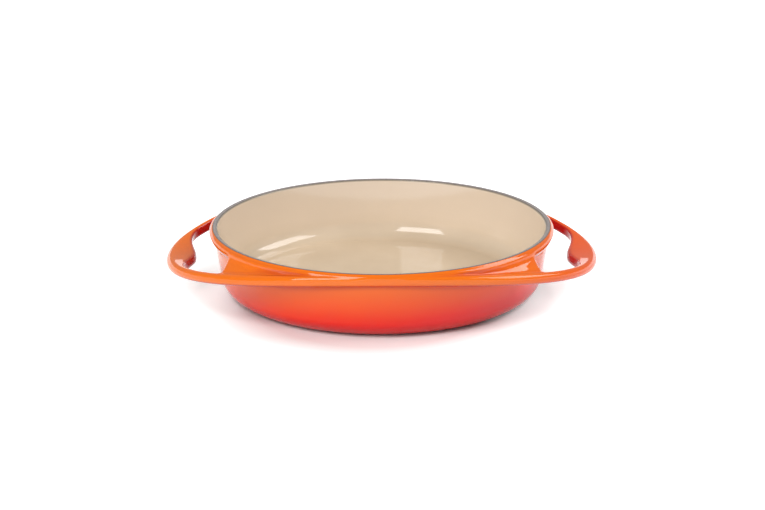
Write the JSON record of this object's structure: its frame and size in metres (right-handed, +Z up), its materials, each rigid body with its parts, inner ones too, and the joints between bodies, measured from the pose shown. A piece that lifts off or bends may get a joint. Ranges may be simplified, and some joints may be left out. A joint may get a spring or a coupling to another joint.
{
  "type": "tarte tatin dish",
  "caption": "Shallow round enamelled cast-iron tarte tatin dish with a leaning wall, a collared rim and integral loop handles with thumb pads.",
  "frame": {"origin": "middle of the flat underside, on the table", "axes": "+X towards the right handle, +Y away from the viewer, +Z up out of the dish"},
  "size_m": [0.3284, 0.2618, 0.051],
  "materials": {
    "cast_iron": "rough as-cast grey iron, covered by enamel",
    "orange_enamel": "glossy vitreous enamel, orange at the rim shading to red at the base",
    "sand_enamel": "satin-gloss vitreous enamel, warm sand",
    "ground_coat": "matt grey ground coat, slightly rough"
  },
  "bodies": {
    "root": {"iron_casting": "cast_iron", "outer_enamel": "orange_enamel", "inner_enamel": "sand_enamel", "rim_band": "ground_coat", "base_enamel": "orange_enamel"}
  },
  "joints": []
}
